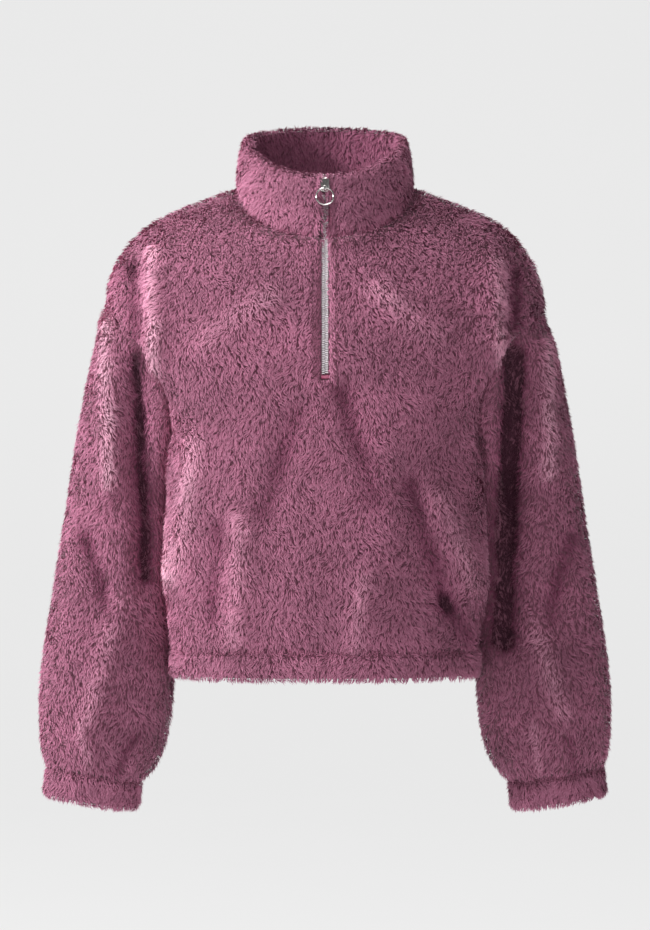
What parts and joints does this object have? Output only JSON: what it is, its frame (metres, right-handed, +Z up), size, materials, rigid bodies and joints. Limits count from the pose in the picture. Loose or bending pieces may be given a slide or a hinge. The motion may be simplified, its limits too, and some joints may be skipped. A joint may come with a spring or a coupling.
{
  "type": "cropped half-zip fleece top",
  "caption": "Cropped teddy-fleece pullover with a stand collar, half zip with ring pull, dropped long sleeves and gathered elasticated hem and cuffs.",
  "frame": {"origin": "middle of the neck base at the height of the shoulder's high points, where the wearer's shoulders carry the garment", "axes": "+Z up, -Y out of the garment's front, +X to the right in a front view"},
  "size_m": [0.6258, 0.2367, 0.7514],
  "materials": {
    "teddy_fleece": "pile",
    "zip_tape": "woven",
    "zip_teeth": "satin",
    "zip_stop": "satin",
    "zip_steel": "polished"
  },
  "bodies": {
    "garment": {"front": "teddy_fleece", "back": "teddy_fleece", "collar": "teddy_fleece", "hem_casing": "teddy_fleece", "sleeve_left": "teddy_fleece", "sleeve_right": "teddy_fleece", "cuff_left": "teddy_fleece", "cuff_right": "teddy_fleece", "zip_tape_left": "zip_tape", "zip_tape_right": "zip_tape", "zip_chain": "zip_teeth", "zip_bottom_stop": "zip_stop", "zip_slider": "zip_steel", "zip_top_stop": "zip_steel"},
    "zip_pull": {"zip_pull_ring": "zip_steel"}
  },
  "joints": [
    {"name": "pull_ring_swing", "type": "hinge", "parent": "garment", "child": "zip_pull", "pos_m": [0, -0.08101, 0.00966], "axis": [-1, 0, 0], "range_deg": [0, 120]}
  ]
}
